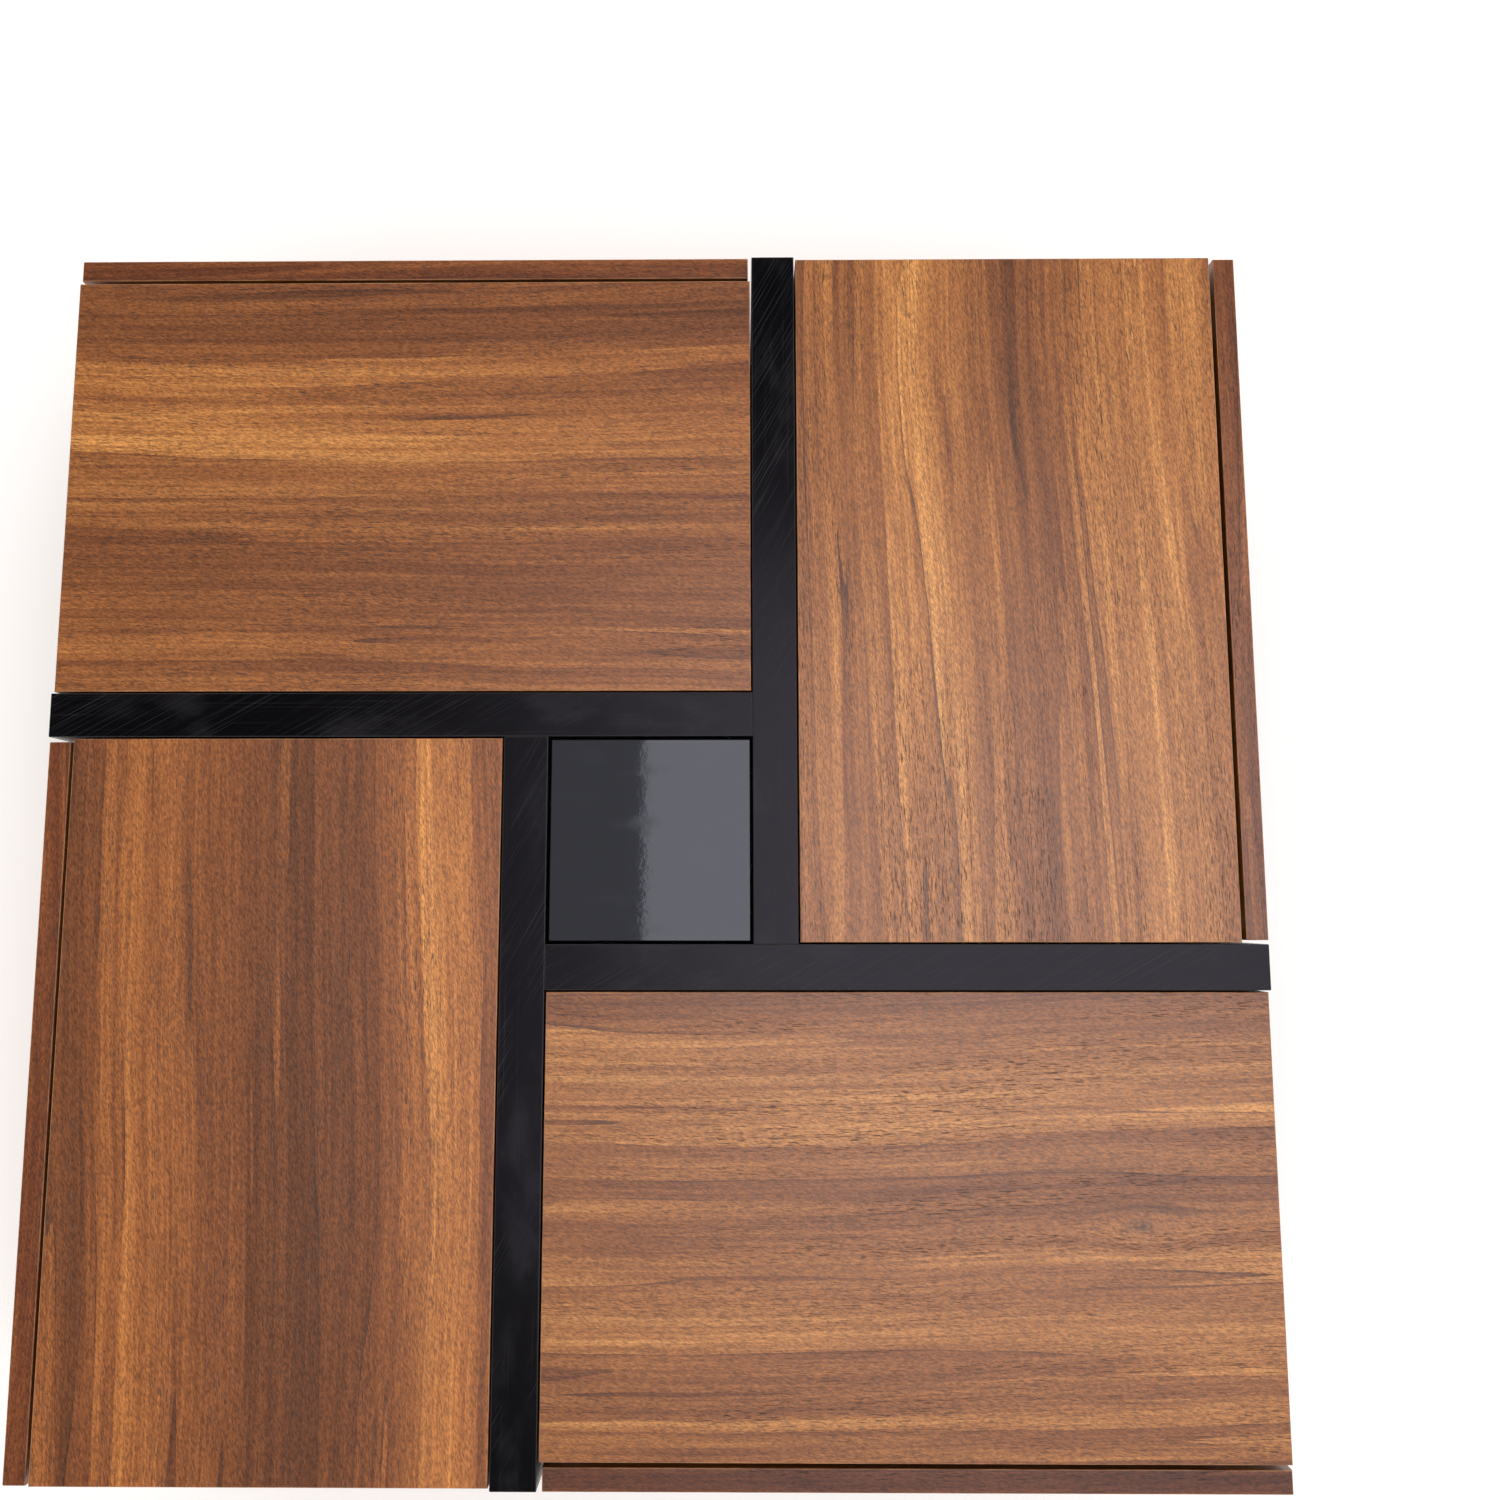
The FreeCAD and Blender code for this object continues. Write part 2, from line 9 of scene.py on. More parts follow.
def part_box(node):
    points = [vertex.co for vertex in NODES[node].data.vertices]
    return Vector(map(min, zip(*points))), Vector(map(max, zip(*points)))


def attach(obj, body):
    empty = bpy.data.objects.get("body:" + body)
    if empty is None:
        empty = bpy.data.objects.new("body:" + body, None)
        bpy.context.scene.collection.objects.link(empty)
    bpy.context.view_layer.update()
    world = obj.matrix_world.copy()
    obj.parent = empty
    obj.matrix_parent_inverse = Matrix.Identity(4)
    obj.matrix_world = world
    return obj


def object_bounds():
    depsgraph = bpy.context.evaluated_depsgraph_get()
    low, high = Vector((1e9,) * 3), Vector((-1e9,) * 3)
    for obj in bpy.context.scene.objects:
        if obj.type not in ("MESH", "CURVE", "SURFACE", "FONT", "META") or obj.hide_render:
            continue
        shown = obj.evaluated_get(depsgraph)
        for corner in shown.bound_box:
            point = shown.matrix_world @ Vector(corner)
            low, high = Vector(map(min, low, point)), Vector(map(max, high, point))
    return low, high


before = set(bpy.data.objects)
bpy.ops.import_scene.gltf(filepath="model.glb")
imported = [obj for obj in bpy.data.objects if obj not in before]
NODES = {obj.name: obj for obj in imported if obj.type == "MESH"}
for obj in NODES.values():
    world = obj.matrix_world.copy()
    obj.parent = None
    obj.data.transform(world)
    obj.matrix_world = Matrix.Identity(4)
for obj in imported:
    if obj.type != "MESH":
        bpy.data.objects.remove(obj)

cad_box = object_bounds()
SIDES = ("far", "right", "near", "left")
MM = 0.001


# ---- Shader helper ------------------------------------------------------------------------------

class Net:
    """One procedural material: short calls that add a node and return its output."""

    def __init__(self, name, roughness=0.5, metallic=0.0, ior=1.5):
        self.material = bpy.data.materials.new(name)
        self.material.use_nodes = True
        self.tree = self.material.node_tree
        self.shader = self.tree.nodes["Principled BSDF"]
        for socket, value in (("Roughness", roughness), ("Metallic", metallic), ("IOR", ior)):
            self.shader.inputs[socket].default_value = value

    def node(self, kind, **settings):
        made = self.tree.nodes.new(kind)
        for key, value in settings.items():
            setattr(made, key, value)
        return made

    def put(self, socket, value):
        if isinstance(value, bpy.types.NodeSocket):
            self.tree.links.new(value, socket)
        else:
            socket.default_value = value

    def math(self, operation, *values, clamp=False):
        made = self.node("ShaderNodeMath", operation=operation, use_clamp=clamp)
        for socket, value in zip(made.inputs, values):
            self.put(socket, value)
        return made.outputs[0]

    def vector(self, operation, *values):
        made = self.node("ShaderNodeVectorMath", operation=operation)
        for socket, value in zip(made.inputs, values):
            self.put(socket, value)
        return made.outputs["Value" if operation in ("DOT_PRODUCT", "LENGTH") else "Vector"]

    def split(self, vector):
        made = self.node("ShaderNodeSeparateXYZ")
        self.put(made.inputs[0], vector)
        return made.outputs

    def join(self, *values):
        made = self.node("ShaderNodeCombineXYZ")
        for socket, value in zip(made.inputs, values):
            self.put(socket, value)
        return made.outputs[0]

    def noise(self, vector, stretch, detail=2.0, roughness=0.55):
        """Noise with its own scale along each axis, per metre."""
        made = self.node("ShaderNodeTexNoise")
        self.put(made.inputs["Vector"], self.vector("MULTIPLY", vector, Vector(stretch)))
        made.inputs["Scale"].default_value = 1.0
        made.inputs["Detail"].default_value = detail
        made.inputs["Roughness"].default_value = roughness
        return made.outputs["Fac"]

    def ramp(self, value, *stops):
        made = self.node("ShaderNodeValToRGB")
        self.put(made.inputs[0], value)
        elements = made.color_ramp.elements
        while len(elements) < len(stops):
            elements.new(0.5)
        for element, (place, colour) in zip(elements, stops):
            element.position = place
            element.color = (*colour, 1.0)
        return made.outputs[0]

    def fade(self, value, low, high, to_low=0.0, to_high=1.0):
        """Smooth step of a value from to_low at low to to_high at high."""
        made = self.node("ShaderNodeMapRange", interpolation_type="SMOOTHSTEP")
        for socket, number in zip(made.inputs, (value, low, high, to_low, to_high)):
            self.put(socket, number)
        return made.outputs[0]

    def mix(self, share, first, second, blend="MIX"):
        made = self.node("ShaderNodeMix", data_type="RGBA", blend_type=blend)
        self.put(made.inputs[0], share)
        for socket, value in zip(made.inputs[6:8], (first, second)):
            self.put(socket, (*value, 1.0) if isinstance(value, tuple) else value)
        return made.outputs[2]

    def times(self, base, factor):
        return self.mix(1.0, base, factor, "MULTIPLY")

    def shades(self, value, dark, light):
        """Grey factor, from dark where a noise is low to light where it is high."""
        return self.ramp(value, (0.3, (dark, dark, dark)), (0.7, (light, light, light)))

    def place(self):
        return self.node("ShaderNodeTexCoord").outputs["Object"]

    def normal(self):
        return self.node("ShaderNodeTexCoord").outputs["Normal"]

    def bump(self, height, depth, strength=1.0):
        made = self.node("ShaderNodeBump")
        made.inputs["Strength"].default_value = strength
        made.inputs["Distance"].default_value = depth
        self.put(made.inputs["Height"], height)
        self.put(self.shader.inputs["Normal"], made.outputs[0])

    def colour(self, value):
        self.put(self.shader.inputs["Base Color"], (*value, 1.0) if isinstance(value, tuple) else value)

    def rough(self, value):
        self.put(self.shader.inputs["Roughness"], value)

    def edge_distance(self, box):
        """Distance from a point on a box-shaped board to its nearest edge."""
        place = self.place()
        low = self.vector("ABSOLUTE", self.vector("SUBTRACT", place, box[0]))
        high = self.vector("ABSOLUTE", self.vector("SUBTRACT", place, box[1]))
        x, y, z = self.split(self.vector("MINIMUM", low, high))
        least = self.math("MINIMUM", x, self.math("MINIMUM", y, z))
        most = self.math("MAXIMUM", x, self.math("MAXIMUM", y, z))
        total = self.math("ADD", x, self.math("ADD", y, z))
        return self.math("SUBTRACT", self.math("SUBTRACT", total, least), most)


# ---- Materials ----------------------------------------------------------------------------------

# For each grain axis, which coordinates run along the grain, across it and through the board.
GRAIN = {"X": (0, 1, 2), "Y": (1, 0, 2), "Z": (2, 0, 1)}
SHEET_AXIS = {"X": (1.0, 0.0, 0.0), "Y": (0.0, 1.0, 0.0), "Z": (0.0, 0.0, 1.0)}
OFF_WHITE = (0.70, 0.68, 0.63)
PLUNGER_CAP = 6.0 * MM
# Moves the marks along from one divider to the next, so that no two look the same.
LACQUER_STEP = 2.3
# Laminate colours from the darkest to the lightest tone of the pattern.
WALNUT = (
    (0.18, (0.078, 0.0230, 0.0045)),
    (0.37, (0.145, 0.0435, 0.0085)),
    (0.50, (0.224, 0.0740, 0.0140)),
    (0.61, (0.312, 0.1150, 0.0230)),
    (0.80, (0.550, 0.2480, 0.0600)),
)


def scaled(colour, factors):
    return tuple(channel * factor for channel, factor in zip(colour, factors))


def walnut(name, box, grain, sheet, cut, tone, knot=None):
    """Walnut-pattern laminate: broad bands, streaks, thin growth lines and short pores along the grain.

    grain and sheet name the axes along the grain and square to the board's faces. cut is the place, along
    and across the grain, that the board has in one endless sheet of the pattern."""
    net = Net(name, ior=1.56)
    parts = net.split(net.place())
    along, across, through = (parts[i] for i in GRAIN[grain])
    along = net.math("ADD", along, cut[0])
    across = net.math("ADD", across, cut[1])
    if knot is not None:
        centre_along, centre_across, size = knot
        du = net.math("SUBTRACT", along, centre_along + cut[0])
        dv = net.math("SUBTRACT", across, centre_across + cut[1])
        reach = net.vector("LENGTH", net.join(net.math("MULTIPLY", du, 0.45), dv, 0.0))
        swell = net.fade(reach, 0.0, size * 3.5, 1.0, 0.0)
        across = net.math("SUBTRACT", across, net.math("MULTIPLY", net.math("MULTIPLY", swell, dv), 0.7))
    flat = net.join(along, across, through)
    drift = net.math("SUBTRACT", net.noise(flat, (1.5, 1.5, 1.5), 0.0), 0.5)
    waver = net.math("SUBTRACT", net.noise(flat, (8.0, 9.0, 9.0), 1.0), 0.5)
    across = net.math("ADD", across, net.math("MULTIPLY", drift, 0.060))
    across = net.math("ADD", across, net.math("MULTIPLY", waver, 0.0045))
    wood = net.join(along, across, through)

    bands = net.noise(wood, (0.50, 15.0, 15.0), 3.0, 0.62)
    phase = net.math("ADD", net.math("MULTIPLY", bands, 8.0), net.math("MULTIPLY", across, 16.0))
    rings = net.math("FRACT", phase)
    broad = net.noise(wood, (0.35, 4.5, 4.5), 1.0)
    streaks = net.noise(wood, (1.6, 85.0, 85.0), 2.0, 0.6)
    fibres = net.noise(wood, (6.0, 420.0, 420.0), 2.0, 0.6)
    mottle = net.noise(wood, (7.0, 30.0, 30.0), 3.0, 0.6)
    tone_mix = 0.5
    for layer, weight in ((broad, 0.55), (bands, 0.95), (streaks, 0.36), (fibres, 0.34), (mottle, 0.14)):
        tone_mix = net.math("ADD", tone_mix, net.math("MULTIPLY", net.math("SUBTRACT", layer, 0.5), weight))
    late = net.math("MULTIPLY", net.fade(rings, 0.35, 1.0), net.fade(mottle, 0.35, 0.6, 0.03, 0.13))
    base = net.ramp(net.math("SUBTRACT", net.math("ADD", tone_mix, 0.03), late), *WALNUT)
    cool = net.fade(net.noise(wood, (0.8, 26.0, 26.0), 2.0), 0.50, 0.72, 0.0, 0.45)
    base = net.mix(cool, base, net.times(base, (0.90, 0.94, 1.05)))

    # Thin growth lines on the dark side of some rings, broken up along the board.
    broken = net.fade(net.noise(wood, (3.0, 45.0, 45.0), 2.0), 0.50, 0.60)
    line = net.math("MULTIPLY", net.fade(rings, 0.90, 0.97), broken)
    base = net.mix(net.math("MULTIPLY", line, 0.55), base, (0.035, 0.014, 0.008))

    slant = net.join(net.math("ADD", along, net.math("MULTIPLY", across, 4.3)), across, through)
    pores = net.fade(net.noise(slant, (95.0, 1100.0, 1100.0), 1.0), 0.57, 0.68)
    porous = net.fade(net.noise(wood, (3.0, 34.0, 34.0), 2.0), 0.38, 0.66, 0.25, 1.0)
    pores = net.math("MULTIPLY", pores, porous)
    base = net.mix(net.math("MULTIPLY", pores, 0.88), base, (0.040, 0.015, 0.007))
    slant = net.join(net.math("ADD", along, net.math("MULTIPLY", across, 1.7)), across, through)
    grit = net.noise(slant, (380.0, 800.0, 800.0), 1.0, 0.7)
    base = net.times(base, net.ramp(grit, (0.32, (0.58, 0.56, 0.54)), (0.68, (1.40, 1.42, 1.44))))
    if knot is not None:
        ring = net.math("SINE", net.math("MULTIPLY", reach, 2600.0))
        core = net.fade(reach, size * 0.15, size, 1.0, 0.0)
        shade = net.math("MULTIPLY", core, net.fade(ring, -1.0, 1.0, 0.45, 0.8))
        base = net.mix(shade, base, (0.06, 0.030, 0.022))

    # The edge band on the board's narrow faces is darker and redder than the sheet.
    facing = net.math("ABSOLUTE", net.vector("DOT_PRODUCT", net.normal(), Vector(SHEET_AXIS[sheet])))
    band = net.fade(facing, 0.5, 0.9, 1.0, 0.0)
    base = net.mix(net.math("MULTIPLY", band, 0.85), base, net.times(base, (0.46, 0.32, 0.20)))
    base = net.times(base, tone)
    # Painted highlight: a lighter line within about a millimetre of every edge, where the rounded edges catch
    # the light, broken up by noise.
    edge = net.fade(net.edge_distance(box), 0.0004, 0.0011, 1.0, 0.0)
    highlight_breakup = net.fade(net.noise(flat, (30.0, 30.0, 30.0), 3.0), 0.35, 0.6, 0.35, 1.0)
    base = net.mix(net.math("MULTIPLY", net.math("MULTIPLY", edge, highlight_breakup), 0.5), base, (0.48, 0.235, 0.105))
    net.colour(base)

    rough = net.math("ADD", net.math("MULTIPLY", grit, 0.10), net.math("MULTIPLY", pores, 0.15))
    net.rough(net.math("ADD", rough, 0.33))
    relief = net.math("SUBTRACT", net.math("MULTIPLY", grit, 0.35), pores)
    net.bump(relief, 0.00012, 0.5)
    return net.material


def lacquer(name, box, grain, seed):
    """Satin black lacquer with wiped dust, long hairline scratches and a painted highlight line along the
    rounded edges.
    """
    net = Net(name, ior=1.28)
    net.shader.inputs["Specular Tint"].default_value = (0.98, 0.90, 1.00, 1.0)
    parts = net.split(net.place())
    along, across, through = (parts[i] for i in GRAIN[grain])
    flat = net.join(net.math("ADD", along, seed), across, through)
    turned = net.vector("ADD", flat, net.vector(
        "MULTIPLY", net.join(across, along, 0.0), Vector((0.55, -0.55, 0.0))))
    hairs = net.fade(net.noise(flat, (4.0, 900.0, 900.0), 2.0), 0.60, 0.74)
    swirls = net.fade(net.noise(turned, (7.0, 1300.0, 60.0), 2.0), 0.56, 0.72)
    patch = net.fade(net.noise(flat, (5.0, 16.0, 16.0), 3.0), 0.38, 0.58)
    cloud = net.noise(flat, (12.0, 22.0, 22.0), 4.0, 0.6)
    marks = net.math("ADD", net.math("MULTIPLY", hairs, 0.45), net.math("MULTIPLY", swirls, patch))
    wiped = net.math("MULTIPLY", marks, 0.45, clamp=True)
    base = net.mix(wiped, (0.0006, 0.0005, 0.0008), (0.030, 0.030, 0.034))
    base = net.mix(net.fade(cloud, 0.50, 0.72, 0.0, 0.45), base, (0.014, 0.0135, 0.016))
    # Painted highlight: a faint grey line within about a millimetre of every edge, where the rounded edges
    # catch the light.
    edge = net.fade(net.edge_distance(box), 0.0003, 0.0010, 1.0, 0.0)
    base = net.mix(net.math("MULTIPLY", edge, 0.55), base, (0.045, 0.042, 0.042))
    net.colour(base)
    rough = net.math("ADD", 0.15, net.math("MULTIPLY", cloud, 0.16))
    net.rough(net.math("ADD", rough, net.math("MULTIPLY", marks, 0.12)))
    net.bump(net.math("ADD", marks, net.math("MULTIPLY", cloud, 0.4)), 0.00002, 0.3)
    return net.material


def black_glass():
    """Polished black-backed glass, very slightly uneven, with a few wiped smears."""
    net = Net("black_glass", ior=1.52)
    net.shader.inputs["Specular Tint"].default_value = (0.95, 0.95, 1.00, 1.0)
    place = net.place()
    smear = net.fade(net.noise(place, (14.0, 45.0, 45.0), 4.0), 0.5, 0.75)
    specks = net.fade(net.noise(place, (900.0, 900.0, 900.0), 1.0), 0.74, 0.80)
    base = net.mix(net.math("MULTIPLY", smear, 0.4), (0.0045, 0.0050, 0.0072), (0.0095, 0.0105, 0.0135))
    net.colour(net.mix(net.math("MULTIPLY", specks, 0.25), base, (0.05, 0.05, 0.055)))
    net.rough(net.math("ADD", 0.035, net.math("MULTIPLY", smear, 0.06)))
    net.bump(net.noise(place, (80.0, 80.0, 80.0), 4.0, 0.65), 0.000025)
    return net.material


def melamine(name, box):
    """Off-white melamine board with a fine pressed texture."""
    net = Net(name, ior=1.47)
    place = net.place()
    pressed = net.noise(place, (900.0, 900.0, 900.0), 2.0)
    grubby = net.noise(place, (7.0, 7.0, 7.0), 4.0)
    handled = net.fade(grubby, 0.40, 0.75, 0.0, 0.5)
    base = net.mix(handled, OFF_WHITE, scaled(OFF_WHITE, (0.93, 0.91, 0.87)))
    edge = net.fade(net.edge_distance(box), 0.0004, 0.0010, 1.0, 0.0)
    base = net.mix(net.math("MULTIPLY", edge, 0.35), base, (0.45, 0.41, 0.35))
    net.colour(net.times(base, net.shades(pressed, 0.96, 1.03)))
    net.rough(net.math("ADD", 0.40, net.math("MULTIPLY", grubby, 0.14)))
    net.bump(pressed, 0.00006, 0.5)
    return net.material


def hardboard():
    """Thin drawer bottom: faced off-white above, bare brown fibre below and on its edges."""
    net = Net("hardboard", ior=1.45)
    place = net.place()
    fibre = net.noise(place, (320.0, 320.0, 320.0), 4.0, 0.7)
    brown = net.ramp(fibre, (0.3, (0.13, 0.065, 0.030)), (0.7, (0.27, 0.150, 0.075)))
    grubby = net.noise(place, (9.0, 9.0, 9.0), 4.0)
    white = net.mix(net.fade(grubby, 0.4, 0.75), (0.66, 0.64, 0.59), (0.60, 0.57, 0.51))
    up = net.fade(net.split(net.normal())[2], 0.4, 0.8)
    net.colour(net.mix(up, brown, white))
    net.rough(net.math("ADD", 0.42, net.math("MULTIPLY", fibre, 0.25)))
    net.bump(fibre, 0.0001, 0.4)
    return net.material


def zinc(name, grain, tint=(0.66, 0.67, 0.69), roughness=0.27):
    """Bright zinc plate, drawn along the grain axis, a little cloudy."""
    net = Net(name, metallic=1.0)
    parts = net.split(net.place())
    along, across, through = (parts[i] for i in GRAIN[grain])
    flat = net.join(along, across, through)
    drawn = net.noise(flat, (6.0, 1400.0, 1400.0), 3.0)
    cloud = net.noise(flat, (40.0, 60.0, 60.0), 4.0, 0.6)
    base = net.mix(net.fade(cloud, 0.40, 0.66), tint, scaled(tint, (1.0, 0.95, 0.86)))
    net.colour(net.times(base, net.shades(drawn, 0.86, 1.05)))
    net.rough(net.math("ADD", roughness - 0.06, net.math("MULTIPLY", cloud, 0.22)))
    net.bump(drawn, 0.00003, 0.5)
    return net.material


def plastic(name, colour, roughness=0.5, ior=1.46):
    """Moulded plastic with a fine spark-eroded texture."""
    net = Net(name, ior=ior)
    place = net.place()
    grain = net.noise(place, (1600.0, 1600.0, 1600.0), 2.0)
    cloud = net.noise(place, (60.0, 60.0, 60.0), 3.0)
    base = net.mix(net.fade(cloud, 0.35, 0.7), colour, scaled(colour, (1.25, 1.25, 1.25)))
    net.colour(net.times(base, net.shades(grain, 0.94, 1.05)))
    net.rough(net.math("ADD", roughness - 0.07, net.math("MULTIPLY", grain, 0.16)))
    net.bump(grain, 0.00005, 0.5)
    return net.material


def plunger_plastic(name, tip, axis):
    """Grey stem with a pale soft cap over the last millimetres before the tip."""
    net = Net(name, ior=1.46)
    place = net.place()
    reach = net.math("ABSOLUTE", net.math("SUBTRACT", net.split(place)["XYZ".index(axis)], tip))
    cap = net.math("LESS_THAN", reach, PLUNGER_CAP)
    grain = net.noise(place, (1500.0, 1500.0, 1500.0), 2.0)
    net.colour(net.mix(cap, (0.17, 0.175, 0.18), net.mix(grain, (0.62, 0.62, 0.60), (0.74, 0.74, 0.72))))
    net.rough(net.math("ADD", 0.38, net.math("MULTIPLY", cap, 0.25)))
    net.bump(grain, 0.00004, 0.4)
    return net.material


def clear_bumper():
    """Soft see-through bumper."""
    net = Net("clear_bumper", ior=1.45)
    cloud = net.noise(net.place(), (200.0, 200.0, 200.0), 2.0)
    net.colour(net.mix(cloud, (0.62, 0.64, 0.66), (0.80, 0.82, 0.84)))
    net.rough(net.math("ADD", 0.15, net.math("MULTIPLY", cloud, 0.15)))
    net.shader.inputs["Transmission Weight"].default_value = 0.6
    return net.material


def wear(name, material):
    """Give a CAD node its material on every slot."""
    mesh = NODES[name].data
    mesh.materials.clear()
    mesh.materials.append(material)
    for face in mesh.polygons:
        face.material_index = 0


# Where in the sheet each module's top and front are cut, along and across the grain. The far module's end and
# bottom panels start at END_CUT and BOTTOM_CUT along it, and each next module's a metre along and two across.
TOP_CUTS = {"far": (2.151, 7.282), "right": (1.889, 8.305), "near": (0.242, 0.890), "left": (3.891, 8.015)}
FRONT_CUTS = {"far": (2.0, 11.0), "right": (3.5, 12.3), "near": (5.1, 13.1), "left": (6.2, 13.45)}
END_CUT = 9.3
BOTTOM_CUT = 14.1
# The modules' boards differ a little in tone.
TONES = {
    "far": (0.98, 0.94, 0.85),
    "right": (1.06, 1.07, 1.09),
    "near": (0.79, 0.75, 0.72),
    "left": (1.16, 1.09, 0.94),
}
# The knot in the near top panel, as shares of the panel's length and width, and its radius.
KNOT_ALONG = 0.815
KNOT_ACROSS = 0.495
KNOT_RADIUS = 8.5 * MM


def clad(side, label, part, grain, sheet, cut, knot=None):
    """Walnut laminate for one board of a module."""
    node = f"{side}_{part}"
    wear(node, walnut(f"walnut_{label}_{side}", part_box(node), grain, sheet, cut, TONES[side], knot))


def near_knot():
    low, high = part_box("near_top_panel")
    return (low.x + (high.x - low.x) * KNOT_ALONG, low.y + (high.y - low.y) * KNOT_ACROSS, KNOT_RADIUS)


def dress():
    """Materials of all CAD nodes."""
    for number, side in enumerate(SIDES):
        long_axis, short_axis = ("X", "Y") if number % 2 == 0 else ("Y", "X")
        knot = near_knot() if side == "near" else None
        clad(side, "top", "top_panel", long_axis, "Z", TOP_CUTS[side], knot)
        clad(side, "end", "end_panel", short_axis, long_axis, (number + END_CUT, 2.0 * number))
        clad(side, "bottom", "bottom_panel", long_axis, "Z", (number + BOTTOM_CUT, 2.0 * number))
        clad(side, "front", "drawer_front", long_axis, short_axis, FRONT_CUTS[side])
        wear(f"{side}_divider", lacquer(
            f"lacquer_{side}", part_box(f"{side}_divider"), short_axis, number * LACQUER_STEP))
        for part in ("left_side", "right_side", "back"):
            label = f"{side}_drawer_{part}"
            wear(label, melamine(f"melamine_{label}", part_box(label)))
        for member in ("outer", "middle", "inner"):
            wear(f"{side}_{member}_runners", zinc(f"zinc_{side}_{member}", short_axis))
        low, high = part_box(f"{side}_latch_plunger")
        tip = {"far": high.y, "right": high.x, "near": low.y, "left": low.x}[side]
        wear(f"{side}_latch_plunger", plunger_plastic(f"plunger_{side}", tip, short_axis))
    tray = hardboard()
    for side in SIDES:
        wear(f"{side}_drawer_bottom", tray)
    wear("centre_glass", black_glass())
    wear("latch_housings", plastic("latch_plastic", (0.16, 0.165, 0.17)))
    wear("divider_screws", zinc("screw_zinc", "Z", (0.62, 0.58, 0.45), 0.35))
    wear("corner_blocks", plastic("block_plastic", (0.0008, 0.0008, 0.0008), 0.9, 1.12))
    wear("floor_glides", plastic("glide_plastic", (0.030, 0.028, 0.027)))
    wear("glass_pads", clear_bumper())


# ---- Fittings -----------------------------------------------------------------------------------

def ring(bm, matrix, radius, height, count):
    """Circle of points round the matrix's +Z."""
    return [bm.verts.new(matrix @ Vector((radius * math.cos(a), radius * math.sin(a), height)))
            for a in (2 * math.pi * i / count for i in range(count))]


def join_rings(bm, low, high):
    for i in range(len(low)):
        j = (i + 1) % len(low)
        bm.faces.new((low[i], low[j], high[j], high[i]))


def fill_between(bm, *loops):
    """Flat faces inside the first loop and outside the others."""
    edges = []
    for loop in loops:
        for i in range(len(loop)):
            pair = (loop[i], loop[(i + 1) % len(loop)])
            edges.append(bm.edges.get(pair) or bm.edges.new(pair))
    bmesh.ops.triangle_fill(bm, edges=edges, use_beauty=True, use_dissolve=False)


def cross_loop(bm, matrix, arm, width, height):
    """Outline of a cross square to the matrix's +Z."""
    corner = ((arm, -width), (arm, width), (width, width))
    points = []
    for quarter in range(4):
        for x, y in corner:
            for _ in range(quarter):
                x, y = -y, x
            points.append(bm.verts.new(matrix @ Vector((x, y, height))))
    return points


def stud(bm, matrix, profile, recess, sides=20):
    """Turned head along the matrix's +Z, with a cross sunk in its top. Profile: (radius, height)."""
    rings = [ring(bm, matrix, radius, height, sides) for radius, height in profile]
    for low, high in zip(rings, rings[1:]):
        join_rings(bm, low, high)
    bm.faces.new(rings[0][::-1])
    arm, width, depth = recess
    top = profile[-1][1]
    mouth = cross_loop(bm, matrix, arm, width, top)
    floor = cross_loop(bm, matrix, arm * 0.75, width * 0.7, top - depth)
    fill_between(bm, rings[-1], mouth)
    join_rings(bm, floor, mouth)
    bm.faces.new(floor)


def cap(bm, matrix, profile, sides=24):
    """Closed turned form along the matrix's +Z."""
    rings = [ring(bm, matrix, radius, height, sides) for radius, height in profile]
    for low, high in zip(rings, rings[1:]):
        join_rings(bm, low, high)
    bm.faces.new(rings[0][::-1])
    bm.faces.new(rings[-1])


PAN_HEAD = ((3.4 * MM, 0.0), (3.5 * MM, 0.5 * MM), (3.1 * MM, 1.2 * MM), (2.2 * MM, 1.7 * MM))
PAN_RECESS = (1.5 * MM, 0.35 * MM, 1.0 * MM)
BOARD_HEAD = ((4.8 * MM, 0.0), (4.9 * MM, 0.3 * MM), (4.3 * MM, 0.8 * MM))
BOARD_RECESS = (2.4 * MM, 0.5 * MM, 0.6 * MM)
CAM_HEAD = ((7.4 * MM, 0.0), (7.5 * MM, 0.5 * MM), (7.0 * MM, 0.9 * MM))
CAM_RECESS = (3.6 * MM, 0.7 * MM, 0.7 * MM)
BUMPER_DOT = (
    (3.9 * MM, 0.0),
    (4.0 * MM, 0.5 * MM),
    (3.6 * MM, 1.3 * MM),
    (2.5 * MM, 1.8 * MM),
    (1.0 * MM, 2.0 * MM),
)
RUNNER_WEB = 1.2 * MM
SCREW_REACHES = (0.08, 0.45, 0.88)              # shares of the runner's length
JOINT_DROPS = (26 * MM, 141 * MM)               # below the drawer box's top
REAR_SCREW_INSET = 7.5 * MM
CAM_INSET = 34 * MM
LOW_BUMPER_RISE = 60 * MM
HIGH_BUMPER_DROP = 40 * MM
BASE_BUMPER_INSET = 40 * MM


def facing(place, direction):
    """Matrix at a place with its +Z along a direction."""
    return Matrix.Translation(place) @ Vector(direction).to_track_quat("Z", "Y").to_matrix().to_4x4()


def fitting(name, number, body, material, makers):
    """One mesh of many small fittings, drawn in the far module and turned into module number's place."""
    bm = bmesh.new()
    for make, matrix, *rest in makers:
        make(bm, matrix, *rest)
    turn = Matrix.Rotation(-math.pi / 2 * number, 3, "Z")
    bmesh.ops.rotate(bm, verts=bm.verts, cent=(0, 0, 0), matrix=turn)
    bmesh.ops.recalc_face_normals(bm, faces=bm.faces)
    mesh = bpy.data.meshes.new(name)
    bm.to_mesh(mesh)
    bm.free()
    mesh.materials.append(material)
    piece = bpy.data.objects.new(name, mesh)
    bpy.context.scene.collection.objects.link(piece)
    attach(piece, body)


